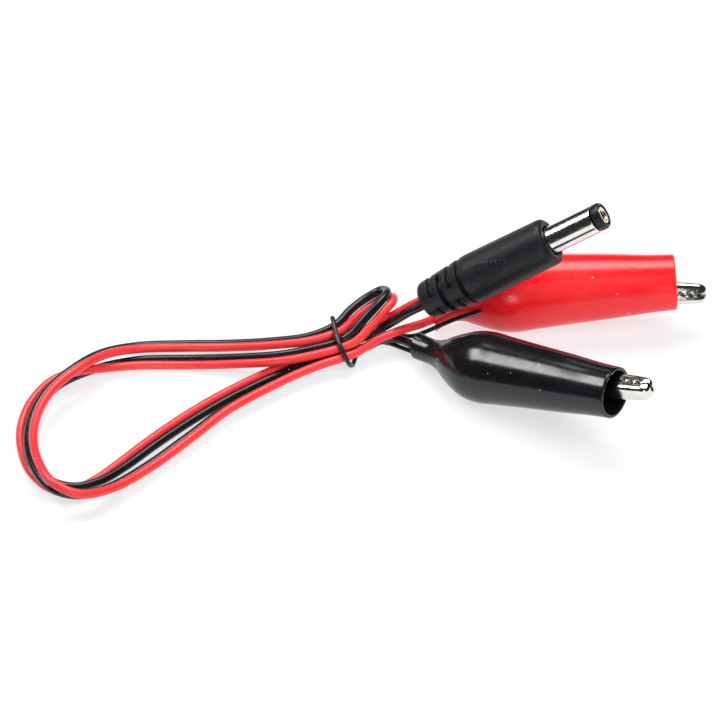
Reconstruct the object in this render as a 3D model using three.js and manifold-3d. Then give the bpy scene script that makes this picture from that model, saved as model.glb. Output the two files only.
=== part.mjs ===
// Power lead: a barrel plug on a twin red and black cable, with two booted crocodile clips.
// Millimetres, +Z up. The lead lies on the plane z = 0, its cable folded and held by a wire tie.

import * as THREE from 'three';
import { mergeVertices } from 'three/addons/utils/BufferGeometryUtils.js';
import Module from 'manifold-3d';

const wasm = await Module();
wasm.setup();

// ---- Driving dimensions -------------------------------------------------------------------

const GAP = 0.3;                 // free space round a piece in its hole

// Cable: two insulated conductors side by side
const WIRE_DIAMETER = 1.75;
const WIRE_PITCH = 1.84;         // centre to centre of the two conductors
const WIRE_SIDES = 8;
const WIRE_STEPS = 120;
const TIE_DIAMETER = 0.9;
const TIE_STEPS = 60;
const STRANDS_DIAMETER = 0.8;

// Barrel plug, measured along its own axis from the rear end of the strain relief
const PLUG_REAR = [-26, 10.1, 11.3];
const PLUG_YAW = -3.2;
const PLUG_PITCH = 34.9;
const RELIEF_LENGTH = 11.5;
const BODY_LENGTH = 17.8;
const BARREL_LENGTH = 12;
const BARREL_DIAMETER = 5.5;
const BARREL_WALL = 0.4;
const CENTRE_BORE = 2.1;
const CENTRE_TUBE_DIAMETER = 2.7;
const TIP_RING_LENGTH = 2;
const BODY_DIAMETER = 9.7;
const BODY_FRONT_DIAMETER = 9.5;
const RELIEF_REAR_DIAMETER = 7.4;
const RELIEF_SPACING = 2.35;     // from one strain relief ring to the next
const RELIEF_GROOVE = 1.05;
const RELIEF_GROOVE_DEPTH = 1.15;
const RELIEF_FACING = 160;       // turn of the bridges across the first and third grooves
const WIRE_IN_PLUG = 12;         // how far the insulated wires run into the overmould
const BODY_START = RELIEF_LENGTH;
const BODY_END = RELIEF_LENGTH + BODY_LENGTH;
const TIP = BODY_END + BARREL_LENGTH;

// Clips, measured from the mouth of the boot: X forward along the jaws, the jaws part along Y
const BOOT_WALL = 0.7;
const NECK_END = -49.5;
const NECK_START = -43.8;
const NECK_BEND_START = -33;
const BULGE_X = -31.5;
const PIVOT_X = -17;
const NOSE_HALF_WIDTH = 1.5;
const JAW_HALF_WIDTH = 1.9;
const MOVING_EAR_HALF_WIDTH = 1.95;
const FIXED_EAR_HALF_WIDTH = 2.65;
const SHEET = 0.45;              // thickness of the jaws' sheet metal
const EAR_RADIUS = 1.9;
const HANDLE_END = -31;
const RIVET_DIAMETER = 1.6;
const SPRING_WIRE = 0.6;
const SPRING_RADIUS = 1.7;
const SPRING_TURNS = 2.5;
const SPRING_LEG_END = -27;
const CRIMP_START = HANDLE_END - 3.5;
const CRIMP_Y = -0.6;
const TOOTH_PITCH = 1.6;
const TOOTH_DEPTH = 0.55;
const JAW_PARTING = 0.3;         // free space between the two toothed edges

// Where each boot's mouth is, how it is turned, how its soft neck bends away from the boot's
// axis, sideways and upwards, and how long the neck is as a share of the longer one; how far the
// jaws stand out of the mouth, where the line on which they meet crosses the mouth, and how the
// jaws lean in the boot
const CLIPS = {
  red: {
    mouth: [23.2, 17.3, 10], yaw: 1.1, pitch: 3.9, roll: 60,
    neckBend: [-2.3, -5], neck: 0.6, stretch: 1.015, girth: 1.03,
    nose: 6.3, jawsAt: [-2.1, 0], lean: [-4.5, 0], handle: 5.4,
  },
  black: {
    mouth: [9.3, -19.9, 14.4], yaw: -32.9, pitch: 14.7, roll: 191,
    neckBend: [1.5, 1.1], neck: 0.78, stretch: 0.93, girth: 0.95,
    nose: 7.4, jawsAt: [-1.5, -0.3], lean: [-4, 1.5], handle: 4.6,
  },
};

// ---- Materials ----------------------------------------------------------------------------

const finish = (color, roughness, metalness) => () =>
  new THREE.MeshStandardMaterial({ color, roughness, metalness });
const redVinyl = finish(0xe62a30, 0.25, 0);
const blackVinyl = finish(0x141517, 0.2, 0);
const mouldedBlack = finish(0x222427, 0.6, 0);
const nickel = finish(0xcfcac0, 0.18, 1);
const brass = finish(0xb8924a, 0.3, 1);
const copper = finish(0xb06a3c, 0.35, 1);
const springSteel = finish(0x9a9a98, 0.3, 1);
const innerPlastic = finish(0x2b2c2e, 0.5, 0);

// ---- Solids -------------------------------------------------------------------------------

function toSolid(geometry) {
  const bare = geometry.clone();
  bare.deleteAttribute('normal');
  bare.deleteAttribute('uv');
  const merged = mergeVertices(bare, 1e-4);
  return new wasm.Manifold(new wasm.Mesh({
    numProp: 3,
    vertProperties: new Float32Array(merged.attributes.position.array),
    triVerts: new Uint32Array(merged.index.array),
  }));
}

function toGeometry(solid) {
  const shape = solid.getMesh();
  const geometry = new THREE.BufferGeometry();
  geometry.setAttribute('position', new THREE.BufferAttribute(shape.vertProperties, 3));
  geometry.setIndex(new THREE.BufferAttribute(shape.triVerts, 1));
  return geometry;
}

function cut(geometry, ...tools) {
  return toGeometry(tools.reduce((solid, tool) => solid.subtract(toSolid(tool)), toSolid(geometry)));
}

function join(geometry, ...others) {
  return toGeometry(others.reduce((solid, other) => solid.add(toSolid(other)), toSolid(geometry)));
}

function common(geometry, ...others) {
  const intersect = (solid, other) => solid.intersect(toSolid(other));
  return toGeometry(others.reduce(intersect, toSolid(geometry)));
}

// A turned shape about the X axis, from [x, radius] pairs that start and end on the axis
// or come back to where they began, in either direction
function turned(profile, segments = 24) {
  const points = profile.map(([x, radius]) => new THREE.Vector2(radius, x));
  if (THREE.ShapeUtils.area(points) < 0) points.reverse();
  return new THREE.LatheGeometry(points, segments).rotateZ(-Math.PI / 2);
}

function rod(start, end, diameter, segments = 16) {
  return turned([[start, 0], [start, diameter / 2], [end, diameter / 2], [end, 0]], segments);
}

function pipe(start, end, outside, inside, segments = 24) {
  const [inner, outer] = [inside / 2, outside / 2];
  return turned([[start, inner], [end, inner], [end, outer], [start, outer], [start, inner]], segments);
}

function polygon(points) {
  return new THREE.Shape(points.map(([x, y]) => new THREE.Vector2(x, y)));
}

// A slab of a side outline in the XY plane, centred on z = 0
function slab(points, width) {
  const geometry = new THREE.ExtrudeGeometry(polygon(points), { depth: width, bevelEnabled: false });
  return geometry.translate(0, 0, -width / 2);
}

// A slab of an outline seen from above, in the XZ plane, between two heights
function planSlab(points, low, high) {
  const depth = high - low;
  const geometry = new THREE.ExtrudeGeometry(polygon(points), { depth, bevelEnabled: false });
  return geometry.rotateX(-Math.PI / 2).translate(0, low, 0);
}

function ringSection(diameter, sides) {
  const points = [];
  for (let i = 0; i < sides; i += 1) {
    const angle = (i / sides) * 2 * Math.PI;
    points.push([Math.cos(angle) * diameter / 2, Math.sin(angle) * diameter / 2]);
  }
  return polygon(points);
}

function tube(points, diameter, steps, sides = WIRE_SIDES) {
  const path = new THREE.CatmullRomCurve3(points, false, 'centripetal');
  return new THREE.ExtrudeGeometry(ringSection(diameter, sides), { extrudePath: path, steps });
}

function piece(name, geometry, material) {
  const mesh = new THREE.Mesh(geometry, material());
  mesh.name = name;
  return mesh;
}

// ---- Barrel plug --------------------------------------------------------------------------

const CORE_DIAMETER = 6.6;
const CORE_START = BODY_START + 2;         // cavity of the overmould
const INSERT_START = CORE_START + 4;
const CORE_END = BODY_END - 2.2;
const FLANGE_DIAMETER = 6.4;
const FLANGE_THICKNESS = 0.8;
const CABLE_SLOT_WIDTH = WIRE_PITCH + WIRE_DIAMETER + 2 * GAP;
const CABLE_SLOT_HEIGHT = WIRE_DIAMETER + 2 * GAP;
const INSULATOR_DIAMETER = BARREL_DIAMETER - 2 * BARREL_WALL - 2 * GAP;
const TAIL_START = CORE_START + 1.4;
const RIB_COUNT = 8;
const RIB_SPACING = 0.95;
const RIB_WIDTH = 0.35;
const RIB_HEIGHT = 0.18;
const RIB_FACING = 145;                    // turn of the ribbed side about the plug's axis

function reliefRadius(x) {
  const share = Math.min(Math.max(x / RELIEF_LENGTH, 0), 1);
  return THREE.MathUtils.lerp(RELIEF_REAR_DIAMETER, BODY_DIAMETER, share) / 2;
}

// Outer outline of the overmould: rounded rear end, rings with grooves between them, the grip
function overmouldOutline() {
  const rear = reliefRadius(0);
  const front = BODY_FRONT_DIAMETER / 2;
  const outline = [[0, 0], [0, rear - 0.9], [0.3, rear - 0.3], [0.9, rear]];
  for (let ring = 1; ring <= 4; ring += 1) {
    const groove = ring * RELIEF_SPACING;
    const crest = reliefRadius(groove);
    outline.push([groove, crest]);
    outline.push([groove + 0.1, crest - RELIEF_GROOVE_DEPTH]);
    outline.push([groove + RELIEF_GROOVE, crest - RELIEF_GROOVE_DEPTH]);
    outline.push([groove + RELIEF_GROOVE + 0.1, crest]);
  }
  outline.push([BODY_START, BODY_DIAMETER / 2]);
  outline.push([BODY_END - 1.2, front]);
  outline.push([BODY_END - 0.6, front - 0.16]);
  outline.push([BODY_END - 0.15, front - 0.6]);
  outline.push([BODY_END, front - 1.2]);
  outline.push([BODY_END, 0]);
  return outline;
}

// Bridges across the first three grooves, a quarter turn on from one groove to the next
function reliefBridges() {
  const bridges = [];
  for (let ring = 1; ring <= 3; ring += 1) {
    for (let side = 0; side < 2; side += 1) {
      const middle = ring * RELIEF_SPACING + RELIEF_GROOVE / 2;
      const bridge = new THREE.BoxGeometry(RELIEF_GROOVE + 0.6, 1.9, 2.4);
      bridge.translate(middle, reliefRadius(middle) - 1.05, 0);
      const quarters = 2 * side + (ring + 1) % 2;
      bridges.push(bridge.rotateX(THREE.MathUtils.degToRad(RELIEF_FACING + 90 * quarters)));
    }
  }
  return bridges;
}

// Short ribs across the axis on two sides of the grip, each shorter than the one behind it
function gripRibs() {
  const ribs = [];
  for (let rib = 0; rib < RIB_COUNT; rib += 1) {
    const x = BODY_START + 2.2 + rib * RIB_SPACING;
    const height = THREE.MathUtils.lerp(5, 1.4, rib / (RIB_COUNT - 1));
    for (let side = 0; side < 2; side += 1) {
      const hoop = pipe(x, x + RIB_WIDTH, BODY_DIAMETER + 2 * RIB_HEIGHT, BODY_DIAMETER - 1, 32);
      const window = new THREE.BoxGeometry(1, BODY_DIAMETER, height);
      window.translate(x, BODY_DIAMETER / 2 + 1.5, 0).rotateX(side * Math.PI);
      ribs.push(common(hoop, window).rotateX(THREE.MathUtils.degToRad(RIB_FACING)));
    }
  }
  return ribs;
}

function cableSlot() {
  const outline = new THREE.Shape();
  const half = (CABLE_SLOT_WIDTH - CABLE_SLOT_HEIGHT) / 2;
  outline.absarc(half, 0, CABLE_SLOT_HEIGHT / 2, -Math.PI / 2, Math.PI / 2, false);
  outline.absarc(-half, 0, CABLE_SLOT_HEIGHT / 2, Math.PI / 2, 1.5 * Math.PI, false);
  const slot = new THREE.ExtrudeGeometry(outline, {
    depth: CORE_START + 2, bevelEnabled: false, curveSegments: 6,
  });
  return slot.rotateY(Math.PI / 2).rotateX(Math.PI / 2).translate(-1, 0, 0);
}

function overmould() {
  const solid = join(turned(overmouldOutline(), 32), ...reliefBridges(), ...gripRibs());
  const cavity = rod(CORE_START - GAP, CORE_END + GAP, CORE_DIAMETER + 2 * GAP, 20);
  const collar = rod(CORE_END, BODY_END - 0.8, FLANGE_DIAMETER + 2 * GAP, 20);
  const mouth = rod(BODY_END - 1, BODY_END + 1, BARREL_DIAMETER + 2 * GAP, 20);
  return cut(solid, cableSlot(), cavity, collar, mouth);
}

// Outer contact: a plated tube with a flange in the overmould and a flat solder tail
function barrelSleeve() {
  const flange = BODY_END - 1.9;
  const inside = BARREL_DIAMETER / 2 - BARREL_WALL;
  const end = TIP - TIP_RING_LENGTH;
  const tube = turned([
    [flange, inside], [end, inside], [end, BARREL_DIAMETER / 2],
    [flange + FLANGE_THICKNESS, BARREL_DIAMETER / 2],
    [flange + FLANGE_THICKNESS, FLANGE_DIAMETER / 2], [flange, FLANGE_DIAMETER / 2], [flange, inside],
  ], 32);
  const tail = new THREE.BoxGeometry(flange + 0.4 - TAIL_START, 0.5, 1.4);
  tail.translate((flange + 0.4 + TAIL_START) / 2, -2.7, 0);
  return join(tube, tail);
}

// Black insulator between the two contacts, with the ring that ends the barrel
function tipInsulator() {
  const bore = CENTRE_TUBE_DIAMETER / 2 + GAP;
  const start = BODY_END - 1.9;
  const ring = TIP - TIP_RING_LENGTH + GAP;
  return turned([
    [start, bore], [TIP - 0.9, bore], [TIP - 0.9, 2], [TIP, 2], [TIP, 2.35], [TIP - 0.4, 2.7],
    [ring, 2.7], [ring, INSULATOR_DIAMETER / 2], [start, INSULATOR_DIAMETER / 2], [start, bore],
  ], 32);
}

// Centre contact: a tube open at the tip, with a solder tail behind
function centreContact() {
  const start = BODY_END - 5;
  const lip = TIP - 0.15;
  const outside = CENTRE_TUBE_DIAMETER / 2;
  const bore = CENTRE_BORE / 2;
  return turned([
    [TAIL_START, 0], [TAIL_START, 0.6], [start, 0.6], [start, outside], [lip - 0.45, outside],
    [lip - 0.45, 1.7], [lip, 1.7], [lip, bore], [start + 0.6, bore], [start + 0.6, 0],
  ], 24);
}

// Plastic insert that holds both contacts inside the overmould
function contactInsert() {
  const bore = rod(INSERT_START - 1, CORE_END + 1, CENTRE_TUBE_DIAMETER + 2 * GAP, 20);
  const tailSlot = new THREE.BoxGeometry(30, 1.9, 2).translate(INSERT_START, -3.1, 0);
  return cut(rod(INSERT_START, CORE_END, CORE_DIAMETER, 24), bore, tailSlot);
}

function aimed(group, [x, y, z], yaw, pitch, roll) {
  const radians = THREE.MathUtils.degToRad;
  group.position.set(x, y, z);
  group.rotation.set(radians(roll), radians(-pitch), radians(yaw), 'ZYX');
  return group;
}

function plug() {
  const group = new THREE.Group();
  group.add(piece('plug_overmould', overmould(), mouldedBlack));
  group.add(piece('barrel_sleeve', barrelSleeve(), nickel));
  group.add(piece('tip_insulator', tipInsulator(), innerPlastic));
  group.add(piece('centre_contact', centreContact(), brass));
  group.add(piece('contact_insert', contactInsert(), innerPlastic));
  const strandsStart = WIRE_IN_PLUG + GAP;
  const strandsEnd = TAIL_START - GAP;
  [['red', 1], ['black', -1]].forEach(([colour, side]) => {
    const strands = rod(strandsStart, strandsEnd, STRANDS_DIAMETER, 12);
    strands.translate(0, side * WIRE_PITCH / 2, 0);
    group.add(piece(`${colour}_strands_in_plug`, strands, copper));
  });
  return aimed(group, PLUG_REAR, PLUG_YAW, PLUG_PITCH, 0);
}

// ---- Crocodile clips ----------------------------------------------------------------------

// Half width of the boot in the plane of the jaws, from the neck end to the mouth
const BOOT_PROFILE = [
  [-49.5, 2.8], [-46.5, 2.65], [-43.8, 2.75], [-41.5, 3.6], [-39.5, 4.9], [-37, 6.3], [-34.5, 7.3],
  [-31.5, 7.7], [-27, 7.35], [-20, 6.8], [-12, 6.25], [-5, 5.65], [0, 5.4],
];

function boot({ roll, neckBend, neck, stretch, girth }) {
  const outer = BOOT_PROFILE.map(([x, radius]) => [x, radius * girth]);
  const inner = outer.map(([x, radius]) => [x, radius - BOOT_WALL]).reverse();
  const geometry = turned([...inner, ...outer, inner[0]], 32);
  const angle = THREE.MathUtils.degToRad(roll);
  const [side, up] = neckBend;
  const bendY = side * Math.cos(angle) + up * Math.sin(angle);
  const bendZ = up * Math.cos(angle) - side * Math.sin(angle);
  const points = geometry.attributes.position;
  for (let i = 0; i < points.count; i += 1) {
    const full = points.getX(i);
    const x = full + Math.max(0, NECK_START - full) * (1 - neck);
    const flatter = 1 - 0.08 * THREE.MathUtils.smoothstep(x, -43, -36);
    const share = Math.max(0, (NECK_BEND_START - x) / (NECK_BEND_START - NECK_END)) ** 2;
    points.setXYZ(
      i,
      Math.max(x, BULGE_X) * (stretch - 1) + x,
      points.getY(i) + share * bendY,
      points.getZ(i) * flatter + share * bendZ,
    );
  }
  return geometry;
}

// The toothed edge, from behind the teeth to the nose; the other jaw's edge is the same one
function toothedEdge(nose, mirrored) {
  const edge = [];
  const rise = mirrored ? -TOOTH_DEPTH / 2 : TOOTH_DEPTH / 2;
  for (let x = nose - 1, tooth = 0; x > -9; x -= TOOTH_PITCH / 2, tooth += 1) {
    edge.push([x, JAW_PARTING / 2 + (tooth % 2 ? rise : -rise)]);
  }
  return edge.reverse();
}

// Top view of a jaw: half widths from the handle end to the nose
function jawPlan(nose, earHalfWidth, inset) {
  const half = [
    [HANDLE_END - 1, earHalfWidth], [PIVOT_X + 4, earHalfWidth], [PIVOT_X + 8, JAW_HALF_WIDTH],
    [nose - 4, JAW_HALF_WIDTH - 0.1], [nose - inset, NOSE_HALF_WIDTH],
  ];
  const left = half.map(([x, width]) => [x, width - inset]);
  const right = left.map(([x, width]) => [x, -width]).reverse();
  return [...left, ...right];
}

// One jaw with its handle: a channel of sheet metal with a toothed edge and two ears.
// It is drawn with its back towards +Y; the mirrored one is the other jaw.
function jaw({ nose, back, earHalfWidth, mirrored }) {
  const outline = [
    [HANDLE_END, back - 1.7], [-20, 0.6], ...earArc(), [-12, 0.5],
    ...toothedEdge(nose, mirrored),
    [nose, 0.3], [nose, 1], [nose - 0.5, 1.5], [nose - 1.6, 1.95], [nose - 4, 2.15],
    [PIVOT_X, 2.8], [HANDLE_END, back],
  ];
  const hollow = [
    [HANDLE_END - 2, -6], [nose - SHEET, -6], [nose - SHEET, 0.8], [nose - 0.8, 1.15],
    [nose - 1.8, 1.5], [nose - 4, 2.15 - SHEET], [PIVOT_X, 2.8 - SHEET],
    [HANDLE_END, back - SHEET], [HANDLE_END - 2, back - SHEET],
  ];
  const shell = common(slab(outline, 8), planSlab(jawPlan(nose, earHalfWidth, 0), -8, 12));
  const inside = common(slab(hollow, 8), planSlab(jawPlan(nose, earHalfWidth, SHEET), -8, 12));
  const hole = rod(-5, 5, RIVET_DIAMETER + 2 * GAP, 16).rotateY(Math.PI / 2).translate(PIVOT_X, 0, 0);
  const solid = cut(shell, inside, hole);
  return mirrored ? flipped(solid) : solid;
}

function earArc() {
  const arc = [];
  for (let step = 0; step <= 8; step += 1) {
    const angle = Math.PI * (1 + step / 8);
    arc.push([PIVOT_X + EAR_RADIUS * Math.cos(angle), EAR_RADIUS * Math.sin(angle)]);
  }
  return arc;
}

function flipped(geometry) {
  return geometry.rotateX(Math.PI);
}

// A rolled crimp barrel on a tongue behind the fixed jaw's handle
function crimp() {
  const barrel = pipe(CRIMP_START, HANDLE_END + 0.4, 2.3, 1.4, 16).translate(0, CRIMP_Y, 0);
  const low = CRIMP_Y - 1.4;
  const high = CRIMP_Y - 0.85;
  const tongue = slab([
    [HANDLE_END + 0.8, -3.55], [HANDLE_END - 0.2, -3.55], [HANDLE_END - 1.8, low],
    [HANDLE_END - 1.8, high], [HANDLE_END - 1.2, high], [HANDLE_END + 0.6, -3.1],
  ], 1.6);
  return join(tongue, barrel);
}

function rivet() {
  const half = FIXED_EAR_HALF_WIDTH + GAP;
  const profile = [
    [-half - 0.5, 0], [-half - 0.5, 1], [-half - 0.2, 1.4], [-half, 1.4], [-half, RIVET_DIAMETER / 2],
    [half, RIVET_DIAMETER / 2], [half, 1.4], [half + 0.2, 1.4], [half + 0.5, 1], [half + 0.5, 0],
  ];
  return turned(profile, 16).rotateY(Math.PI / 2).translate(PIVOT_X, 0, 0);
}

// Torsion spring: turns round the rivet and a leg under each handle
function spring() {
  const points = [new THREE.Vector3(SPRING_LEG_END, 2.9, 0.9), new THREE.Vector3(-21, 2.2, 0.9)];
  const steps = SPRING_TURNS * 12;
  for (let step = 0; step <= steps; step += 1) {
    const angle = Math.PI / 2 - (step / 12) * 2 * Math.PI;
    const z = 0.9 - 1.8 * (step / steps);
    points.push(new THREE.Vector3(
      PIVOT_X + SPRING_RADIUS * Math.cos(angle), SPRING_RADIUS * Math.sin(angle), z,
    ));
  }
  points.push(new THREE.Vector3(-21, -2.0, -0.9), new THREE.Vector3(SPRING_LEG_END, -2.3, -0.9));
  return tube(points, SPRING_WIRE, 64, 6);
}

function clip(colour, vinyl) {
  const place = CLIPS[colour];
  const group = new THREE.Group();
  group.add(piece(`${colour}_boot`, boot(place), vinyl));
  const inside = new THREE.Group();
  const fixedJaw = jaw({
    nose: place.nose, back: 3.6, earHalfWidth: FIXED_EAR_HALF_WIDTH, mirrored: true,
  });
  const movingJaw = jaw({
    nose: place.nose, back: place.handle, earHalfWidth: MOVING_EAR_HALF_WIDTH, mirrored: false,
  });
  inside.add(piece(`${colour}_fixed_jaw`, join(fixedJaw, crimp()), nickel));
  inside.add(piece(`${colour}_moving_jaw`, movingJaw, nickel));
  inside.add(piece(`${colour}_pivot_rivet`, rivet(), nickel));
  inside.add(piece(`${colour}_jaw_spring`, spring(), springSteel));
  const strands = rod(CRIMP_START - 0.7, HANDLE_END, STRANDS_DIAMETER, 12);
  strands.translate(0, CRIMP_Y, 0);
  inside.add(piece(`${colour}_strands_in_clip`, strands, copper));
  inside.position.set(0, ...place.jawsAt);
  const [down, sideways] = place.lean.map(THREE.MathUtils.degToRad);
  inside.rotation.set(0, sideways, down, 'ZYX');
  group.add(inside);
  return aimed(group, place.mouth, place.yaw, place.pitch, place.roll);
}

// ---- Cable and wire tie -------------------------------------------------------------------

// Middle of the two conductors from inside the plug, out to the far end of the hank, back to the
// wire tie, round a tight fold, and out and back again: x, y, z and the turn of the flat cable
// about its own line, in degrees, where 0 is flat with the black conductor on the left
const PAIR_ROUTE = [
  [-16.2, 9.4, 18.2, 0], [-21.9, 9.8, 14.2, 0], [-26.8, 10.2, 10.7, 0], [-29.3, 10.3, 9, 0],
  [-33.7, 10.7, 5.3, 0], [-37.8, 10, 3.1, 0], [-43, 7.8, 2.2, 0], [-47.7, 5.2, 1.6, 0],
  [-52.8, 2.2, 1.2, 0], [-59, -1.8, 1, 0], [-65.9, -7, 1, 0], [-72.7, -13.1, 1, 0],
  [-79, -19.7, 1.1, 4], [-84.4, -25.9, 1.2, 12], [-88.7, -30.4, 1.5, 30], [-93.1, -32.9, 1.8, 58],
  [-97.3, -32.3, 2, 92], [-100.9, -27.9, 1.8, 130], [-102.9, -21.9, 1.3, 162],
  [-103.5, -15.5, 1.2, 188], [-102.1, -9.3, 1.6, 222], [-98.7, -3.8, 2, 258],
  [-94.1, -0.6, 1.9, 296], [-88.9, 1.6, 1.5, 330], [-82.3, 3.2, 1.2, 352], [-72.5, 3.4, 1.2, 360],
  [-63, 2.2, 2.6, 360], [-54.7, 1.8, 3.7, 360], [-48.4, 3.2, 4, 360], [-42.9, 5.2, 4.2, 360],
  [-40.3, 6.2, 5.1, 376], [-37.7, 8.3, 6.9, 394], [-35, 10.9, 8.6, 402], [-33.3, 13.4, 9, 398],
  [-33.1, 16, 8, 412], [-34.4, 17.8, 6.5, 455], [-37.1, 16.9, 5.3, 487], [-40.2, 13.8, 4.9, 511],
  [-43.4, 9.5, 4.7, 540], [-48.9, 7.2, 4, 555], [-56.8, 7.1, 2.8, 558], [-65.7, 7.7, 1.7, 560],
  [-74.6, 7.8, 1.5, 561], [-82.4, 6.4, 2.4, 563], [-89, 2.6, 4.2, 567], [-94.3, -3.1, 5.4, 573],
  [-98.9, -8.4, 4.8, 580], [-101.4, -14.8, 4.4, 586], [-101.9, -22.5, 4.5, 592],
  [-100.1, -30.4, 5.2, 604], [-96.7, -36, 5.4, 632], [-92, -37.4, 4.5, 672],
  [-86.2, -33.7, 2.6, 684], [-79, -26.7, 1.7, 686], [-72, -19.1, 1.7, 684],
  [-65.1, -11.4, 1.8, 678], [-58.1, -5.9, 2, 674], [-50.8, -0.8, 2.1, 674], [-46.5, 1.6, 2.3, 680],
  [-42.9, 3.2, 2.6, 690],
];

// Past the wire tie the conductors part, and each runs into its boot as far as the crimp
const RED_TAIL = [
  [-39.6, 4.2, 3.1], [-35.7, 6.7, 4.1], [-33.1, 8, 4.4], [-31.2, 9, 4.5], [-28.2, 10.5, 4.4],
  [-26.2, 11.8, 4.1], [-24.1, 13.8, 3.6], [-21.7, 15.1, 4.3], [-19.3, 15.7, 5.4],
  [-16.2, 16.2, 6.6], [-12.3, 16.6, 7.6],
];
const BLACK_TAIL = [
  [-39.9, 6.1, 2], [-37.5, 7.2, 2], [-35.3, 8.8, 2], [-33.1, 9.5, 2], [-30.7, 8.9, 2.1],
  [-28, 5.8, 3.2], [-25.9, 3.7, 3.9], [-23.9, 1.8, 4.1], [-21.9, 0, 4.2], [-19.6, -1.5, 4.7],
];

// The wire tie, from its longer end, once round the hank to its shorter end
const TIE_ROUTE = [
  [-15.1, 9.3, 9.6], [-20.2, 9.5, 7.1], [-23.7, 9.9, 4.8], [-26.1, 10, 3.3], [-28.3, 10.3, 2],
  [-31.1, 11.2, 1.3], [-35.7, 12.7, 0.9], [-40.2, 13.1, 0.8], [-43.3, 12.9, 2.2],
  [-44.4, 12.3, 4.6], [-44.4, 10.5, 6.4], [-43.9, 7.4, 6.3], [-43.3, 4.6, 5.9], [-42.4, 2.5, 5],
  [-41.3, 1.3, 2.9], [-40.5, 2.8, 0.9], [-40, 5.1, 0.5], [-39.1, 7.9, 0.5], [-37.2, 9.7, 0.5],
  [-35, 10.1, 0.5], [-33.1, 9.7, 0.5], [-30.7, 8.4, 0.5], [-28.2, 6.9, 0.6],
];

// Points of one conductor, half a pitch from the cable's middle line
function conductorPoints(side, tail) {
  const middle = PAIR_ROUTE.map(([x, y, z]) => new THREE.Vector3(x, y, z));
  const points = PAIR_ROUTE.map(([, , , turn], i) => {
    const before = middle[Math.max(i - 1, 0)];
    const after = middle[Math.min(i + 1, middle.length - 1)];
    const along = after.clone().sub(before).normalize();
    const left = new THREE.Vector3(0, 0, 1).cross(along).normalize();
    const across = left.applyAxisAngle(along, THREE.MathUtils.degToRad(turn));
    return across.multiplyScalar(side * WIRE_PITCH / 2).add(middle[i]);
  });
  return [...points, ...tail.map((point) => new THREE.Vector3(...point))];
}

function cable() {
  const group = new THREE.Group();
  const red = tube(conductorPoints(-1, RED_TAIL), WIRE_DIAMETER, WIRE_STEPS);
  const black = tube(conductorPoints(1, BLACK_TAIL), WIRE_DIAMETER, WIRE_STEPS);
  const tie = tube(TIE_ROUTE.map((point) => new THREE.Vector3(...point)), TIE_DIAMETER, TIE_STEPS, 6);
  group.add(piece('red_cable', red, redVinyl));
  group.add(piece('black_cable', black, blackVinyl));
  group.add(piece('twist_tie', tie, blackVinyl));
  return group;
}

const lead = new THREE.Group();
lead.add(plug(), clip('red', redVinyl), clip('black', blackVinyl), cable());
export default lead;
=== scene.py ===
"""Power lead with a barrel plug, a folded twin cable, and two booted crocodile clips.

Metres in the row frame. Shapes that are drawn in a piece's own frame are in millimetres.
"""

import math

import bmesh
import bpy
import numpy as np
from mathutils import Matrix, Vector


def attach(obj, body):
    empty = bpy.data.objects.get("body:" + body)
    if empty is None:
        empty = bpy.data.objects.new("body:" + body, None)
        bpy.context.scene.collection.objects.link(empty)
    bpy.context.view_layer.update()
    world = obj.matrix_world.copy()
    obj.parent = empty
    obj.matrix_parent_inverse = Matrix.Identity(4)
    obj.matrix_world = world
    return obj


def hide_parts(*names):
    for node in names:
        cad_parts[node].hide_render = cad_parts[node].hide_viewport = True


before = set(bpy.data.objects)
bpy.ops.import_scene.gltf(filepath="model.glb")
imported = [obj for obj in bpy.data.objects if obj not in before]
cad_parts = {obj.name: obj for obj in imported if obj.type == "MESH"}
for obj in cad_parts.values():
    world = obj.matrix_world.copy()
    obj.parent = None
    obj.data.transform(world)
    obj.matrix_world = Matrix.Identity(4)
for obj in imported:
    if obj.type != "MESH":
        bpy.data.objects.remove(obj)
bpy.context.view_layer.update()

MM = 0.001
LEAD = "lead"                    # the body that everything but the moving jaws rides on
TURNED_SIDES = 96
CORD_SIDES = 20
BOOT_SIDES = 120

# ---- Camera ---------------------------------------------------------------------------------

VIEW_CENTRE = Vector((-0.039, 0.0009, 0.004))
VIEW_TILT = math.radians(42)
VIEW_DISTANCE = 0.705
LENS = 180


def make_camera():
    data = bpy.data.cameras.new("camera")
    data.lens = LENS
    data.clip_end = 20
    camera = bpy.data.objects.new("camera", data)
    bpy.context.scene.collection.objects.link(camera)
    back = Vector((0, -math.cos(VIEW_TILT), math.sin(VIEW_TILT)))
    camera.location = VIEW_CENTRE + back * VIEW_DISTANCE
    camera.rotation_euler = back.to_track_quat("Z", "Y").to_euler()
    bpy.context.scene.camera = camera


make_camera()

# ---- Building meshes ------------------------------------------------------------------------


def placed(points, matrix):
    """Points in a piece's own frame, in millimetres, as points in the row frame, in metres."""
    turn = np.array(matrix.to_3x3())
    return (np.asarray(points) @ turn.T + np.array(matrix.translation)) * MM


def mesh_piece(name, vertices, faces, body, nodes=()):
    """A smooth shaded piece that rides on a body and stands for the given CAD nodes."""
    mesh = bpy.data.meshes.new(name)
    mesh.from_pydata([tuple(v) for v in vertices], [], faces)
    work = bmesh.new()
    work.from_mesh(mesh)
    bmesh.ops.recalc_face_normals(work, faces=work.faces)
    work.to_mesh(mesh)
    work.free()
    mesh.polygons.foreach_set("use_smooth", [True] * len(mesh.polygons))
    piece = bpy.data.objects.new(name, mesh)
    bpy.context.scene.collection.objects.link(piece)
    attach(piece, body)
    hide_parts(*nodes)
    return piece


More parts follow.
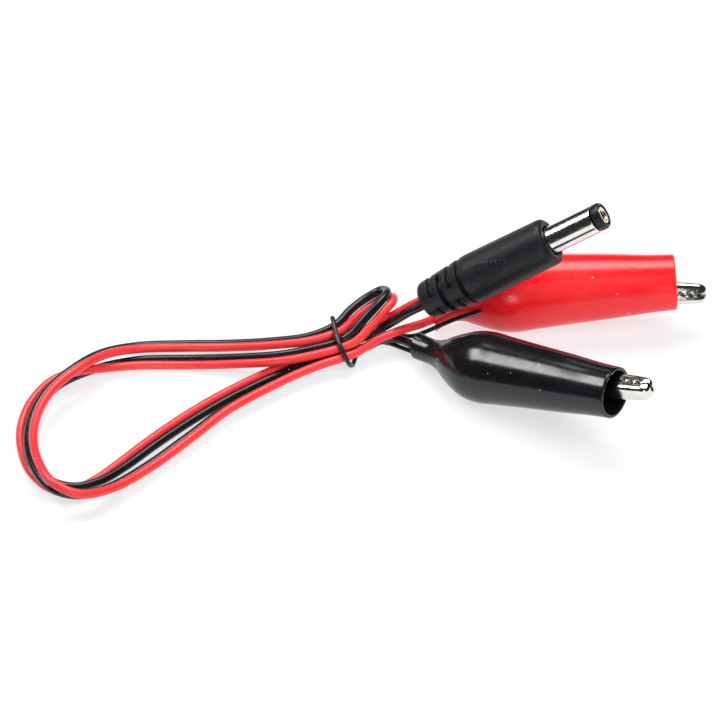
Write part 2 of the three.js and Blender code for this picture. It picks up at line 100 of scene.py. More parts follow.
def skin(name, rings, matrix, body, nodes=(), closed=False, caps=False):
    """A surface from rings of points, each joined to the next.

    closed joins the last ring to the first; caps puts a face over each end ring.
    """
    rings = np.asarray(rings, float)
    count, around = rings.shape[:2]
    faces = []
    for i in range(count if closed else count - 1):
        j = (i + 1) % count
        for k in range(around):
            m = (k + 1) % around
            faces.append((i * around + k, i * around + m, j * around + m, j * around + k))
    if caps:
        faces.append(tuple(range(around)))
        faces.append(tuple((count - 1) * around + k for k in reversed(range(around))))
    return mesh_piece(name, placed(rings.reshape(-1, 3), matrix), faces, body, nodes)


def turned_rings(profile, segments):
    """Rings about the X axis, one for each (x, radius) of the profile."""
    angles = np.linspace(0, 2 * math.pi, segments, endpoint=False)
    x, radius = np.asarray(profile, float).T
    return np.stack([
        np.repeat(x[:, None], segments, 1),
        radius[:, None] * np.cos(angles),
        radius[:, None] * np.sin(angles),
    ], axis=-1)


def rounded(corners, radius, steps=5):
    """A closed profile with its corners rounded off by arcs."""
    corners = np.asarray(corners, float)
    out = []
    for before, corner, after in zip(np.roll(corners, 1, 0), corners, np.roll(corners, -1, 0)):
        back = before - corner
        ahead = after - corner
        reach = min(radius, 0.45 * np.linalg.norm(back), 0.45 * np.linalg.norm(ahead))
        start = corner + back / np.linalg.norm(back) * reach
        end = corner + ahead / np.linalg.norm(ahead) * reach
        for t in np.linspace(0, 1, steps):
            out.append((1 - t) ** 2 * start + 2 * t * (1 - t) * corner + t**2 * end)
    return out


def turned_piece(name, corners, radius, matrix, node):
    """A turned ring or tube from its closed profile, with its edges rounded."""
    rings = turned_rings(rounded(corners, radius), TURNED_SIDES)
    return skin(name, rings, matrix, LEAD, [node], closed=True)


def aimed(place, yaw, pitch, roll=0.0):
    """A piece's own frame: turned about Z by the yaw, tipped up by the pitch, and rolled."""
    yawed, pitched, rolled = (
        Matrix.Rotation(math.radians(angle), 4, axis)
        for angle, axis in ((yaw, "Z"), (-pitch, "Y"), (roll, "X")))
    return Matrix.Translation(place) @ yawed @ pitched @ rolled


# ---- Cable and wire tie ---------------------------------------------------------------------

WIRE_DIAMETER = 0.00175
WIRE_PITCH = 0.00184             # centre to centre of the two conductors
TIE_DIAMETER = 0.0009
END_CHAMFER = 0.3                # share of the radius taken off a cord's end face

# Middle of the two conductors from the plug, out and back, round a tight fold, out and back:
# x, y, z and the turn of the flat cable about its own line, in degrees
PAIR_ROUTE = [
    (-0.0162, 0.0094, 0.0182, 0), (-0.0219, 0.0098, 0.0142, 0), (-0.0268, 0.0102, 0.0107, 0),
    (-0.0293, 0.0103, 0.0090, 0), (-0.0337, 0.0107, 0.0053, 0), (-0.0378, 0.0100, 0.0031, 0),
    (-0.0430, 0.0078, 0.0022, 0), (-0.0477, 0.0052, 0.0016, 0), (-0.0528, 0.0022, 0.0012, 0),
    (-0.0590, -0.0018, 0.0010, 0), (-0.0659, -0.0070, 0.0010, 0), (-0.0727, -0.0131, 0.0010, 0),
    (-0.0790, -0.0197, 0.0011, 4), (-0.0844, -0.0259, 0.0012, 12), (-0.0887, -0.0304, 0.0015, 30),
    (-0.0931, -0.0329, 0.0018, 58), (-0.0973, -0.0323, 0.0020, 92),
    (-0.1009, -0.0279, 0.0018, 130), (-0.1029, -0.0219, 0.0013, 162),
    (-0.1035, -0.0155, 0.0012, 188), (-0.1021, -0.0093, 0.0016, 222),
    (-0.0987, -0.0038, 0.0020, 258), (-0.0941, -0.0006, 0.0019, 296),
    (-0.0889, 0.0016, 0.0015, 330), (-0.0823, 0.0032, 0.0012, 352), (-0.0725, 0.0034, 0.0012, 360),
    (-0.0630, 0.0022, 0.0026, 360), (-0.0547, 0.0018, 0.0037, 360), (-0.0484, 0.0032, 0.0040, 360),
    (-0.0429, 0.0052, 0.0042, 360), (-0.0403, 0.0062, 0.0051, 376), (-0.0377, 0.0083, 0.0069, 394),
    (-0.0350, 0.0109, 0.0086, 402), (-0.0333, 0.0134, 0.0090, 398), (-0.0331, 0.0160, 0.0080, 412),
    (-0.0344, 0.0178, 0.0065, 455), (-0.0371, 0.0169, 0.0053, 487), (-0.0402, 0.0138, 0.0049, 511),
    (-0.0434, 0.0095, 0.0047, 540), (-0.0489, 0.0072, 0.0040, 555), (-0.0568, 0.0071, 0.0028, 558),
    (-0.0657, 0.0077, 0.0017, 560), (-0.0746, 0.0078, 0.0015, 561), (-0.0824, 0.0064, 0.0024, 563),
    (-0.0890, 0.0026, 0.0042, 567), (-0.0943, -0.0031, 0.0054, 573),
    (-0.0989, -0.0084, 0.0048, 580), (-0.1014, -0.0148, 0.0044, 586),
    (-0.1019, -0.0225, 0.0045, 592), (-0.1001, -0.0304, 0.0052, 604),
    (-0.0967, -0.0360, 0.0054, 632), (-0.0920, -0.0374, 0.0045, 672),
    (-0.0862, -0.0337, 0.0026, 684), (-0.0790, -0.0267, 0.0017, 686),
    (-0.0720, -0.0191, 0.0017, 684), (-0.0651, -0.0114, 0.0018, 678),
    (-0.0581, -0.0059, 0.0020, 674), (-0.0508, -0.0008, 0.0021, 674),
    (-0.0465, 0.0016, 0.0023, 680), (-0.0429, 0.0032, 0.0026, 690),
]
RED_TAIL = [
    (-0.0396, 0.0042, 0.0031), (-0.0357, 0.0067, 0.0041), (-0.0331, 0.0080, 0.0044),
    (-0.0312, 0.0090, 0.0045), (-0.0282, 0.0105, 0.0044), (-0.0262, 0.0118, 0.0041),
    (-0.0241, 0.0138, 0.0036), (-0.0217, 0.0151, 0.0043), (-0.0193, 0.0157, 0.0054),
    (-0.0162, 0.0162, 0.0066), (-0.0123, 0.0166, 0.0076),
]
BLACK_TAIL = [
    (-0.0399, 0.0061, 0.0020), (-0.0375, 0.0072, 0.0020), (-0.0353, 0.0088, 0.0020),
    (-0.0331, 0.0095, 0.0020), (-0.0307, 0.0089, 0.0021), (-0.0280, 0.0058, 0.0032),
    (-0.0259, 0.0037, 0.0039), (-0.0239, 0.0018, 0.0041), (-0.0219, 0.0000, 0.0042),
    (-0.0196, -0.0015, 0.0047),
]
TIE_ROUTE = [
    (-0.0151, 0.0093, 0.0096), (-0.0202, 0.0095, 0.0071), (-0.0237, 0.0099, 0.0048),
    (-0.0261, 0.0100, 0.0033), (-0.0283, 0.0103, 0.0020), (-0.0311, 0.0112, 0.0013),
    (-0.0357, 0.0127, 0.0009), (-0.0402, 0.0131, 0.0008), (-0.0433, 0.0129, 0.0022),
    (-0.0444, 0.0123, 0.0046), (-0.0444, 0.0105, 0.0064), (-0.0439, 0.0074, 0.0063),
    (-0.0433, 0.0046, 0.0059), (-0.0424, 0.0025, 0.0050), (-0.0413, 0.0013, 0.0029),
    (-0.0405, 0.0028, 0.0009), (-0.0400, 0.0051, 0.0005), (-0.0391, 0.0079, 0.0005),
    (-0.0372, 0.0097, 0.0005), (-0.0350, 0.0101, 0.0005), (-0.0331, 0.0097, 0.0005),
    (-0.0307, 0.0084, 0.0005), (-0.0282, 0.0069, 0.0006),
]


def line_through(points, per_stretch=10):
    """Smooth line through the points, a centripetal Catmull-Rom curve."""
    p = np.asarray(points, float)
    p = np.vstack([2 * p[0] - p[1], p, 2 * p[-1] - p[-2]])
    t = np.linspace(0, 1, per_stretch, endpoint=False)[:, None]
    stretches = []
    for a, b, c, d in zip(p, p[1:], p[2:], p[3:]):
        before, here, after = (np.linalg.norm(v) ** 0.5 for v in (b - a, c - b, d - c))
        leave = ((b - a) / before - (c - a) / (before + here) + (c - b) / here) * here
        arrive = ((c - b) / here - (d - b) / (here + after) + (d - c) / after) * here
        stretches.append(
            (2 * t**3 - 3 * t**2 + 1) * b
            + (t**3 - 2 * t**2 + t) * leave
            + (3 * t**2 - 2 * t**3) * c
            + (t**3 - t**2) * arrive
        )
    return np.vstack([*stretches, p[-2:-1]])


def conductor_points(side, tail):
    """Points of one conductor, half a pitch from the cable's middle line."""
    rows = np.array(PAIR_ROUTE)
    middle = rows[:, :3]
    along = np.gradient(middle, axis=0)
    along[1:-1] = middle[2:] - middle[:-2]
    along /= np.linalg.norm(along, axis=1)[:, None]
    left = np.cross((0, 0, 1), along)
    left /= np.linalg.norm(left, axis=1)[:, None]
    turn = np.radians(rows[:, 3])[:, None]
    across = np.cos(turn) * left + np.sin(turn) * np.cross(along, left)
    return [*(middle + side * WIRE_PITCH / 2 * across), *tail]


def cord_piece(name, line, diameter):
    """A round cord along a line, with its sides carried along it without twisting."""
    along = np.gradient(line, axis=0)
    along /= np.linalg.norm(along, axis=1)[:, None]
    side = np.cross(along[0], (0, 0, 1))
    angles = np.linspace(0, 2 * math.pi, CORD_SIDES, endpoint=False)
    rings = []
    for place, ahead in zip(line, along):
        side = side - ahead * side.dot(ahead)
        side /= np.linalg.norm(side)
        around = np.outer(np.cos(angles), side) + np.outer(np.sin(angles), np.cross(ahead, side))
        rings.append(place + diameter / 2 * around)
    start = rings[0] + END_CHAMFER * (line[0] - rings[0])
    end = rings[-1] + END_CHAMFER * (line[-1] - rings[-1])
    return skin(name, np.array([start, *rings, end]) / MM, Matrix(), LEAD, caps=True)


red_line = line_through(conductor_points(-1, RED_TAIL))
black_line = line_through(conductor_points(1, BLACK_TAIL))
red_cable = cord_piece("red_conductor", red_line, WIRE_DIAMETER)
black_cable = cord_piece("black_conductor", black_line, WIRE_DIAMETER)
wire_tie = cord_piece("wire_tie", line_through(TIE_ROUTE), TIE_DIAMETER)
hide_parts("red_cable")
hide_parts("black_cable")
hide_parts("twist_tie")

# ---- Barrel plug ----------------------------------------------------------------------------

PLUG = aimed((-26, 10.1, 11.3), -3.2, 34.9)
RELIEF_LENGTH = 11.5
BODY_END = 29.3
TIP = 41.3
BODY_DIAMETER = 9.7
BODY_FRONT_DIAMETER = 9.5
RELIEF_REAR_DIAMETER = 7.4
RELIEF_SPACING = 2.35
GROOVE_COUNT = 4
GROOVE_WIDTH = 1.05
GROOVE_DEPTH = 1.15
GROOVE_EDGE = 0.14               # over which a groove's side falls
BRIDGE_HALF_WIDTH = 1.2
BRIDGE_EDGE = 0.2
RELIEF_FACING = 160              # turn of the bridges across the first and third grooves
BARREL_DIAMETER = 5.5
TIP_RING_LENGTH = 2.0
RIB_COUNT = 8
RIB_SPACING = 0.95
RIB_START = 2.4                  # first rib, from the grip's rear end
RIB_HEIGHT = 0.18
RIB_HALF_LENGTHS = (2.6, 0.8)    # of the first and the last rib
RIB_BOW = 0.12                   # how far a rib's ends lean forward, as a share of its half length
RIB_FACING = 145                 # turn of the ribbed side about the plug's axis
SLOT_HALF_HEIGHT = 1.25
SLOT_HALF_WIDTH = 2.25
REAR_ROUNDING = 0.7
FRONT_ROUNDING = 1.1
OVERMOULD_SIDES = 240
RING_STEP = 0.07
FLANGE_START = BODY_END - 1.9
FLANGE_END = BODY_END - 1.1
FLANGE_RADIUS = 3.1
SLEEVE_BORE_RADIUS = 2.35
INSULATOR_RADIUS = 2.05
CONTACT_RADIUS = 1.35
CONTACT_BORE_RADIUS = 1.05
CONTACT_LIP_RADIUS = 1.7


def smooth_step(x, low, high):
    t = np.clip((x - low) / (high - low), 0, 1)
    return t * t * (3 - 2 * t)


def relief_radius(x):
    share = np.clip(x / RELIEF_LENGTH, 0, 1)
    return (RELIEF_REAR_DIAMETER + share * (BODY_DIAMETER - RELIEF_REAR_DIAMETER)) / 2


def turn_between(angles, facing):
    """How far each angle is from the facing, in radians, from -pi to pi."""
    return (angles - math.radians(facing) + math.pi) % (2 * math.pi) - math.pi


def groove_share(x, angles, groove):
    """How deep into a strain relief groove each place is, from 0 to 1.

    Two bridges cross every groove but the last, a quarter turn on from one groove to the next.
    """
    start = groove * RELIEF_SPACING
    end = start + GROOVE_WIDTH
    fall = smooth_step(x, start, start + GROOVE_EDGE)
    across = fall - smooth_step(x, end, end + GROOVE_EDGE)
    if groove == GROOVE_COUNT:
        return across * np.ones_like(angles)
    bridges = np.zeros_like(angles)
    for side in (0, 180):
        facing = RELIEF_FACING + side + 90 * ((groove + 1) % 2)
        reach = np.abs(turn_between(angles, facing)) * relief_radius(start)
        bridge = 1 - smooth_step(reach, BRIDGE_HALF_WIDTH, BRIDGE_HALF_WIDTH + BRIDGE_EDGE)
        bridges = np.maximum(bridges, bridge)
    return across * (1 - bridges)


def rib_share(x, angles):
    """How far up a grip rib each place is, from 0 to 1."""
    share = np.zeros_like(angles)
    for rib, half in enumerate(np.linspace(*RIB_HALF_LENGTHS, RIB_COUNT)):
        for side in (0, 180):
            reach = turn_between(angles, RIB_FACING + side) * BODY_DIAMETER / 2
            middle = RELIEF_LENGTH + RIB_START + rib * RIB_SPACING + RIB_BOW * reach**2 / half
            along = 1 - smooth_step(np.abs(x - middle), 0.1, 0.3)
            share = np.maximum(share, along * (1 - smooth_step(np.abs(reach), half - 0.3, half)))
    return share


def overmould():
    """Rings from inside the cable's slot, round the rear end and along the outside to the
    front, and into the opening for the barrel."""
    sides = OVERMOULD_SIDES
    angles = np.linspace(0, 2 * math.pi, sides, endpoint=False)
    around = np.stack([np.cos(angles), np.sin(angles)], axis=-1)
    rings = []

    def ring(x, radius):
        rings.append(np.column_stack([np.full(sides, x), around * radius]))

    mouth = np.stack([
        SLOT_HALF_WIDTH * np.sign(np.cos(angles)) * np.abs(np.cos(angles)) ** 0.7,
        SLOT_HALF_HEIGHT * np.sign(np.sin(angles)) * np.abs(np.sin(angles)) ** 0.7,
    ], axis=-1)
    for depth in (4.0, 0.25, 0.05):
        grow = 1 + 0.12 * smooth_step(-depth, -0.3, 0)
        rings.append(np.column_stack([np.full(sides, depth), mouth * grow]))
    rear = relief_radius(0)
    for t in np.linspace(0, math.pi / 2, 8):
        ring(REAR_ROUNDING * (1 - math.cos(t)), rear - REAR_ROUNDING * (1 - math.sin(t)))
    for x in np.arange(0.8, BODY_END - 1.2, RING_STEP):
        radius = np.full(sides, relief_radius(x))
        if x > RELIEF_LENGTH:
            share = (x - RELIEF_LENGTH) / (BODY_END - RELIEF_LENGTH)
            radius += share * (BODY_FRONT_DIAMETER - BODY_DIAMETER) / 2
            radius += RIB_HEIGHT * rib_share(x, angles)
        for groove in range(1, GROOVE_COUNT + 1):
            radius -= GROOVE_DEPTH * groove_share(x, angles, groove)
        ring(x, radius[:, None])
    front = BODY_FRONT_DIAMETER / 2
    for t in np.linspace(0, math.pi / 2, 10):
        ring(BODY_END - FRONT_ROUNDING * (1 - math.sin(t)), front - FRONT_ROUNDING * (1 - math.cos(t)))
    ring(BODY_END - 0.02, 3.3)
    ring(BODY_END - 0.15, 3.1)
    ring(BODY_END - 1.2, 3.05)
    skin("plug_grip", rings, PLUG, LEAD, ["plug_overmould"])


def barrel():
    """The sleeve with its flange, the insulator with the ring at the tip, the centre contact."""
    outside = BARREL_DIAMETER / 2
    end = TIP - TIP_RING_LENGTH
    turned_piece("plug_sleeve", [
        (FLANGE_START, SLEEVE_BORE_RADIUS), (end, SLEEVE_BORE_RADIUS), (end, outside),
        (FLANGE_END, outside), (FLANGE_END, FLANGE_RADIUS), (FLANGE_START, FLANGE_RADIUS),
    ], 0.12, PLUG, "barrel_sleeve")
    turned_piece("plug_tip_ring", [
        (FLANGE_START, 1.65), (TIP - 0.9, 1.65), (TIP - 0.9, 1.95), (TIP - 0.1, 2.0), (TIP, 2.25),
        (TIP - 0.05, 2.45), (TIP - 0.5, 2.68), (end + 0.3, 2.7), (end + 0.3, INSULATOR_RADIUS),
        (FLANGE_START, INSULATOR_RADIUS),
    ], 0.15, PLUG, "tip_insulator")
    bore = CONTACT_BORE_RADIUS
    turned_piece("plug_centre_contact", [
        (BODY_END - 4, bore), (TIP - 0.5, bore), (TIP - 0.15, bore + 0.25),
        (TIP - 0.15, CONTACT_LIP_RADIUS), (TIP - 0.6, CONTACT_LIP_RADIUS),
        (TIP - 0.6, CONTACT_RADIUS), (BODY_END - 4, CONTACT_RADIUS),
    ], 0.08, PLUG, "centre_contact")


overmould()
barrel()

# ---- Crocodile clips ------------------------------------------------------------------------

# Where each boot's mouth is and how it is turned, how its neck bends sideways and upwards and how
# long it is as a share of the longer one, how far the jaws stand out of the mouth, where the line
# on which they meet crosses it, how they lean in the boot, and how far the handle stands off
CLIPS = {
    "red": dict(
        place=(23.2, 17.3, 10), yaw=1.1, pitch=3.9, roll=60, neck_bend=(-2.3, -5), neck=0.6,
        stretch=1.015, girth=1.03, nose=6.3, jaws_at=(-2.1, 0), lean=(-4.5, 0), handle=5.4,
    ),
    "black": dict(
        place=(9.3, -19.9, 14.4), yaw=-32.9, pitch=14.7, roll=191, neck_bend=(1.5, 1.1), neck=0.78,
        stretch=0.93, girth=0.95, nose=7.4, jaws_at=(-1.5, -0.3), lean=(-4, 1.5), handle=4.6,
    ),
}
NECK_END = -49.5
NECK_START = -43.8
BULGE_X = -31.5
NECK_BEND_START = -33
BOOT_WALL = 0.7
BOOT_PROFILE = [
    (-49.5, 2.8), (-46.5, 2.65), (-43.8, 2.75), (-41.5, 3.6), (-39.5, 4.9), (-37, 6.3),
    (-34.5, 7.3), (-31.5, 7.7), (-27, 7.35), (-20, 6.8), (-12, 6.25), (-5, 5.65), (0, 5.4),
]
PIVOT_X = -17
EAR_RADIUS = 1.9
HANDLE_END = -31
FIXED_HANDLE = 3.6
FIXED_EAR_HALF_WIDTH = 2.65
MOVING_EAR_HALF_WIDTH = 1.95
JAW_HALF_WIDTH = 1.9
NOSE_LENGTH = 2                  # the rounded end of a jaw
NOSE_MIDDLE = 0.75               # height that the nose is rounded down to
NOSE_MIDDLE_HALF_WIDTH = 0.8
SHEET = 0.45
TOOTH_PITCH = 1.6
TOOTH_DEPTH = 0.55
TEETH_END = -9
JAW_PARTING = 0.3


def boot(colour, clip):
    """A soft tube turned from the boot's profile, with rounded rims, its neck bent aside."""
    outer = line_through(BOOT_PROFILE, 9)
    outer[:, 1] *= clip["girth"]
    inner = outer[::-1] - (0, BOOT_WALL)
    neck_end, mouth = outer[0], outer[-1]
    turns = np.linspace(0.3, math.pi - 0.3, 6)
    half_wall = BOOT_WALL / 2
    rim = [(mouth[0] + 0.25 * math.sin(a), mouth[1] - half_wall * (1 - math.cos(a))) for a in turns]
    neck_rim = [
        (neck_end[0] - 0.2 * math.sin(a), neck_end[1] - half_wall * (1 + math.cos(a))) for a in turns]
    rings = turned_rings([*outer, *rim, *inner, *neck_rim], BOOT_SIDES)
    full = rings[..., 0]
    x = full + np.maximum(0, NECK_START - full) * (1 - clip["neck"])
    share = (np.maximum(0, NECK_BEND_START - x) / (NECK_BEND_START - NECK_END)) ** 2
    side, up = clip["neck_bend"]
    roll = math.radians(clip["roll"])
    bend_y = side * math.cos(roll) + up * math.sin(roll)
    bend_z = up * math.cos(roll) - side * math.sin(roll)
    flatter = 1 - 0.08 * smooth_step(x, -43, -36)
    rings[..., 1] += share * bend_y
    rings[..., 2] = rings[..., 2] * flatter + share * bend_z
    rings[..., 0] = x + np.maximum(x, BULGE_X) * (clip["stretch"] - 1)
    skin(f"{colour}_vinyl_boot", rings, boot_matrix(clip), LEAD, [f"{colour}_boot"], closed=True)


def boot_matrix(clip):
    """A boot's own frame: X forward out of its mouth, the jaws part along Y."""
    return aimed(clip["place"], clip["yaw"], clip["pitch"], clip["roll"])


def jaw_matrix(clip):
    down, sideways = clip["lean"]
    return boot_matrix(clip) @ aimed((0, *clip["jaws_at"]), down, -sideways)


def toothed_edge(nose, mirrored):
    """The jaw's teeth, from the last one to the first; the other jaw's fit between them."""
    rise = -TOOTH_DEPTH / 2 if mirrored else TOOTH_DEPTH / 2
    teeth = []
    x = nose - 1
    while x > TEETH_END:
        teeth.append((x, JAW_PARTING / 2 + (rise if len(teeth) % 2 else -rise)))
        x -= TOOTH_PITCH / 2
    return teeth[::-1]


def jaw_stations(nose, back, ear_half_width, mirrored):
    """Along the jaw: x, height of its back, of its lower edge, and of that edge without its
    teeth, and half width."""
    nose_start = nose - NOSE_LENGTH
    backs = [(HANDLE_END, back), (PIVOT_X, 2.8), (nose - 4, 2.15), (nose_start, 2)]
    ear = [(PIVOT_X + EAR_RADIUS * math.cos(a), EAR_RADIUS * math.sin(a))
           for a in np.linspace(math.pi, 2 * math.pi, 9)]
    lower = [(HANDLE_END, back - 1.7), (-20, 0.6), *ear, (-12, 0.5)]
    tooth_top = (JAW_PARTING + TOOTH_DEPTH) / 2
    plain = [*lower, (TEETH_END, tooth_top), (nose, tooth_top)]
    edges = [*lower, *toothed_edge(nose, mirrored), (nose, 0.3)]
    widths = [
        (HANDLE_END, ear_half_width), (PIVOT_X + 4, ear_half_width), (PIVOT_X + 8, JAW_HALF_WIDTH),
        (nose - 4, 1.8), (nose_start, 1.72),
    ]
    at = {round(x, 3) for x, _ in [*backs, *edges, *widths]}
    at |= {round(x, 3) for x in np.arange(HANDLE_END, nose_start, 0.4)}
    straight = sorted(x for x in at if x <= nose_start)
    curved = nose_start + NOSE_LENGTH * np.sin(np.linspace(0.12, math.pi / 2, 14))
    at = np.array([*straight, *curved])
    top, edge, base, half = (np.interp(at, *np.array(t).T) for t in (backs, edges, plain, widths))
    round_off = np.sqrt(1 - np.clip((at - nose_start) / NOSE_LENGTH, 0, 1) ** 2)
    top = NOSE_MIDDLE + (top - NOSE_MIDDLE) * round_off
    half = NOSE_MIDDLE_HALF_WIDTH + (half - NOSE_MIDDLE_HALF_WIDTH) * round_off
    return np.column_stack([at, top, edge, base, half])


def jaw(colour, clip, part, back, ear_half_width, mirrored, body):
    """One jaw and its handle: a channel of sheet metal with a toothed edge."""
    rings = []
    for x, top, edge, base, half in jaw_stations(clip["nose"], back, ear_half_width, mirrored):
        corner = min(0.6 * half, 0.6 * (top - base))
        arc = np.linspace(0, math.pi / 2, 7)
        right = [(half - corner * (1 - math.cos(a)), top - corner * (1 - math.sin(a))) for a in arc]
        wall = [(half, edge), (half, base + 0.25 * (top - corner - base))]
        section = [*wall, *right]
        section += [(-z, y) for z, y in reversed(section)]
        rings.append([(x, y, z) for z, y in section])
    rings.append([(clip["nose"] + 0.02, min(y, 0.4), z) for _, y, z in rings[-1]])
    rings = np.array(rings)
    if mirrored:
        rings[..., 1:] *= -1
    count, around = rings.shape[:2]
    faces = []
    for i in range(count - 1):
        for k in range(around - 1):
            start = i * around + k
            faces.append((start, start + 1, start + around + 1, start + around))
    matrix = jaw_matrix(clip)
    vertices = placed(rings.reshape(-1, 3), matrix)
    piece = mesh_piece(f"{colour}_{part}_plate", vertices, faces, body, [f"{colour}_{part}"])
    # The sheet thickens inwards, whichever way the faces turned out
    middle = piece.data.polygons[len(piece.data.polygons) // 2]
    outwards = middle.normal.dot(middle.center - matrix.translation * MM) > 0
    thicken = piece.modifiers.new("sheet", "SOLIDIFY")
    thicken.thickness = SHEET * MM
    thicken.offset = -1 if outwards else 1
    bevel = piece.modifiers.new("edges", "BEVEL")
    bevel.width = 0.06 * MM
    bevel.segments = 2
    bevel.angle_limit = math.radians(40)


for colour, clip in CLIPS.items():
    boot(colour, clip)
    jaw(colour, clip, "fixed_jaw", FIXED_HANDLE, FIXED_EAR_HALF_WIDTH, True, LEAD)
    jaw(colour, clip, "moving_jaw", clip["handle"], MOVING_EAR_HALF_WIDTH, False, f"{colour}_jaw")

# ---- Materials ------------------------------------------------------------------------------

SPECK_THRESHOLD = 0.72           # share of the cells that have no speck


class Nodes:
    """A material's node tree, built up call by call."""

    def __init__(self, name):
        self.material = bpy.data.materials.new(name)
        self.material.use_nodes = True
        self.tree = self.material.node_tree
        self.shader = self.tree.nodes["Principled BSDF"]
        self.place = self.tree.nodes.new("ShaderNodeTexCoord").outputs["Object"]

    def add(self, kind, inputs=(), **settings):
        node = self.tree.nodes.new(kind)
        for key, value in settings.items():
            setattr(node, key, value)
        for key, value in dict(inputs).items():
            if isinstance(value, bpy.types.NodeSocket):
                self.tree.links.new(value, node.inputs[key])
            else:
                node.inputs[key].default_value = value
        return node

    def noise(self, scale, detail=3.0):
        inputs = {"Vector": self.place, "Scale": scale, "Detail": detail}
        return self.add("ShaderNodeTexNoise", inputs).outputs["Fac"]

    def ramp(self, value, stops):
        node = self.add("ShaderNodeValToRGB", {"Fac": value})
        while len(node.color_ramp.elements) < len(stops):
            node.color_ramp.elements.new(0.5)
        for element, (position, colour) in zip(node.color_ramp.elements, stops):
            element.position = position
            element.color = (*colour, 1)
        return node.outputs["Color"]

    def spread(self, value, low, high):
        inputs = {"Value": value, "From Min": 0.25, "From Max": 0.75, "To Min": low, "To Max": high}
        return self.add("ShaderNodeMapRange", inputs).outputs["Result"]

    def bump(self, *layers):
        """Bumps of (height, strength, distance in millimetres), one on another."""
        normal = None
        for height, strength, distance in layers:
            inputs = {"Height": height, "Strength": strength, "Distance": distance * MM}
            if normal:
                inputs["Normal"] = normal
            normal = self.add("ShaderNodeBump", inputs).outputs["Normal"]
        self.tree.links.new(normal, self.shader.inputs["Normal"])

    def link(self, value, socket):
        self.tree.links.new(value, self.shader.inputs[socket])

    def set(self, **values):
        for key, value in values.items():
            self.shader.inputs[key.replace("_", " ")].default_value = value

    def maths(self, operation, first, second):
        inputs = {0: first, 1: second}
        return self.add("ShaderNodeMath", inputs, operation=operation).outputs["Value"]

    def specks(self, base, colour, scale, size):
        """The base colour with a few small round specks of another colour on it."""
        cells = self.add("ShaderNodeTexVoronoi", {"Vector": self.place, "Scale": scale}).outputs
        cell = self.add("ShaderNodeSeparateColor", {"Color": cells["Color"]}).outputs["Red"]
        spot = self.maths("LESS_THAN", cells["Distance"], size)
        chosen = self.maths("GREATER_THAN", cell, SPECK_THRESHOLD)
        speck = self.maths("MULTIPLY", spot, chosen)
        mix = self.add("ShaderNodeMix", {"Factor": speck}, data_type="RGBA")
        self.tree.links.new(base, mix.inputs["A"])
        mix.inputs["B"].default_value = (*colour, 1)
        return mix.outputs["Result"]


def vinyl(name, dark, light, roughness, speck):
    made = Nodes(name)
    colour = made.ramp(made.noise(90, 2), [(0.35, dark), (0.65, light)])
    made.link(made.specks(colour, speck, 420, 0.07), "Base Color")
    made.link(made.spread(made.noise(700), roughness - 0.04, roughness + 0.06), "Roughness")
    made.bump((made.noise(110, 2), 0.15, 0.25), (made.noise(2600, 2), 0.05, 0.02))
    made.set(Specular_IOR_Level=0.5)
    return made.material


def moulded(name, dark, light, roughness):
    made = Nodes(name)
    made.link(made.ramp(made.noise(1500, 2), [(0.35, dark), (0.7, light)]), "Base Color")
    made.link(made.spread(made.noise(900), roughness - 0.06, roughness + 0.08), "Roughness")
    made.bump((made.noise(7000, 3), 0.35, 0.03), (made.noise(500, 2), 0.1, 0.08))
    made.set(Specular_IOR_Level=0.35)
    return made.material


def metal(name, dark, light, roughness):
    made = Nodes(name)
    made.set(Metallic=1.0)
    made.link(made.ramp(made.noise(300, 4), [(0.3, dark), (0.7, light)]), "Base Color")
    made.link(made.spread(made.noise(1800, 4), roughness * 0.7, roughness * 1.5), "Roughness")
    made.bump((made.noise(420, 2), 0.12, 0.05), (made.noise(5000, 2), 0.05, 0.01))
    return made.material


red_vinyl = vinyl(
    "red_vinyl", (0.84, 0.010, 0.014), (0.90, 0.016, 0.022), 0.25, speck=(0.95, 0.6, 0.6))
black_vinyl = vinyl(
    "black_vinyl", (0.004, 0.004, 0.005), (0.008, 0.008, 0.01), 0.17, speck=(0.35, 0.35, 0.37))
red_insulation = vinyl(
    "red_insulation", (0.74, 0.032, 0.036), (0.80, 0.046, 0.05), 0.3, speck=(0.9, 0.4, 0.4))
black_insulation = vinyl(
    "black_insulation", (0.004, 0.004, 0.005), (0.009, 0.009, 0.011), 0.28, speck=(0.2, 0.2, 0.2))
tie_plastic = vinyl(
    "tie_plastic", (0.008, 0.008, 0.009), (0.016, 0.016, 0.018), 0.3, speck=(0.15, 0.15, 0.15))
plug_plastic = moulded("plug_plastic", (0.006, 0.006, 0.008), (0.011, 0.011, 0.015), 0.45)
tip_plastic = moulded("tip_plastic", (0.006, 0.006, 0.006), (0.012, 0.012, 0.013), 0.3)
nickel = metal("nickel", (0.72, 0.69, 0.63), (0.86, 0.84, 0.79), 0.14)
pale_brass = metal("pale_brass", (0.78, 0.68, 0.48), (0.9, 0.82, 0.64), 0.25)
copper = metal("copper", (0.6, 0.27, 0.14), (0.78, 0.4, 0.24), 0.3)
spring_steel = metal("spring_steel", (0.4, 0.4, 0.39), (0.6, 0.6, 0.58), 0.3)

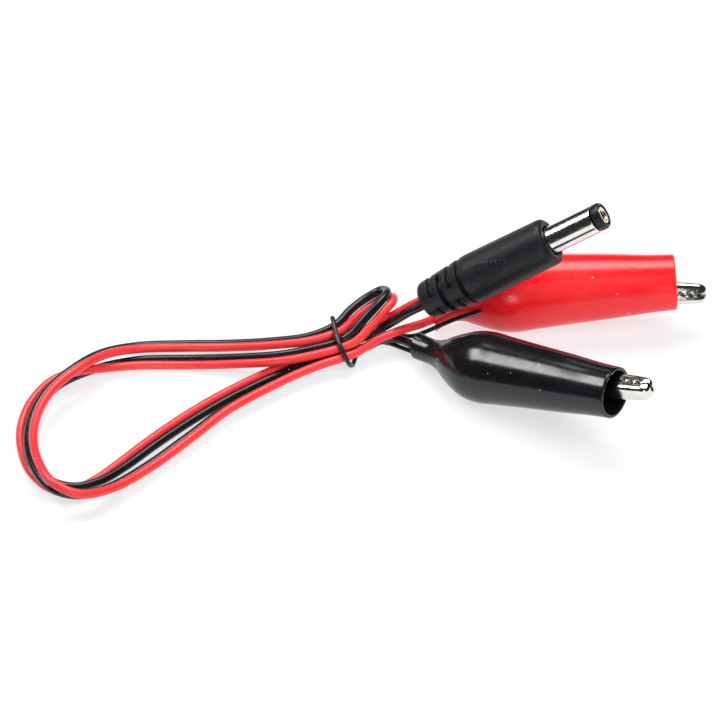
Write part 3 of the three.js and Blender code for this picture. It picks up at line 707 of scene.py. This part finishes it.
# The material of each piece, and its slot: the pieces carried over from the CAD have none
FINISHES = {
    "red_conductor": (red_insulation, "red_vinyl"),
    "black_conductor": (black_insulation, "black_vinyl"),
    "wire_tie": (tie_plastic, "tie_plastic"),
    "plug_grip": (plug_plastic, "moulded_black"),
    "plug_sleeve": (nickel, "nickel"),
    "plug_tip_ring": (tip_plastic, "inner_plastic"),
    "plug_centre_contact": (pale_brass, "brass"),
    "contact_insert": (tip_plastic, None),
    "red_vinyl_boot": (red_vinyl, "red_vinyl"),
    "black_vinyl_boot": (black_vinyl, "black_vinyl"),
}
for colour in CLIPS:
    FINISHES[f"{colour}_fixed_jaw_plate"] = (nickel, "nickel")
    FINISHES[f"{colour}_moving_jaw_plate"] = (nickel, "nickel")
    FINISHES[f"{colour}_pivot_rivet"] = (nickel, None)
    FINISHES[f"{colour}_jaw_spring"] = (spring_steel, None)
    FINISHES[f"{colour}_strands_in_clip"] = (copper, None)
    FINISHES[f"{colour}_strands_in_plug"] = (copper, None)
for name, (material, slot) in FINISHES.items():
    piece = bpy.data.objects[name]
    piece.data.materials.clear()
    piece.data.materials.append(material)

# ---- Floor and lights -----------------------------------------------------------------------


def floor():
    reach = 3.0
    corners = [(-reach, -reach, 0), (reach, -reach, 0), (reach, reach, 0), (-reach, reach, 0)]
    mesh = bpy.data.meshes.new("floor")
    mesh.from_pydata(corners, [], [(0, 1, 2, 3)])
    piece = bpy.data.objects.new("floor", mesh)
    bpy.context.scene.collection.objects.link(piece)
    made = Nodes("floor_white")
    made.set(Base_Color=(0.3, 0.31, 0.32, 1), Roughness=0.8, Emission_Color=(0.97, 0.985, 1, 1),
             Emission_Strength=0.66)
    piece.data.materials.append(made.material)


def soft_light(name, place, size, power, mirrored=True):
    """A rectangular light aimed at the middle; glossy surfaces don't show it unless mirrored."""
    data = bpy.data.lights.new(name, "AREA")
    data.shape = "RECTANGLE"
    data.size, data.size_y = size
    data.energy = power
    light = bpy.data.objects.new(name, data)
    bpy.context.scene.collection.objects.link(light)
    light.location = place
    light.rotation_euler = Vector(place).to_track_quat("Z", "Y").to_euler()
    light.visible_glossy = mirrored


floor()
soft_light("back_box", (0.0, 0.61, 1.26), (0.9, 0.8), 15)
soft_light("strip_box", (-0.864, 0.324, 0.986), (0.7, 0.33), 9)
soft_light("front_card", (-0.09, -1.3, 0.42), (0.3, 0.5), 2.5)
soft_light("key_box", (0.7, -0.9, 1.3), (1.1, 1.1), 25, mirrored=False)
world = bpy.data.worlds.new("studio")
world.use_nodes = True
world.node_tree.nodes["Background"].inputs["Color"].default_value = (0.9, 0.93, 1, 1)
world.node_tree.nodes["Background"].inputs["Strength"].default_value = 0.03
bpy.context.scene.world = world
bpy.context.scene.view_settings.view_transform = "Standard"
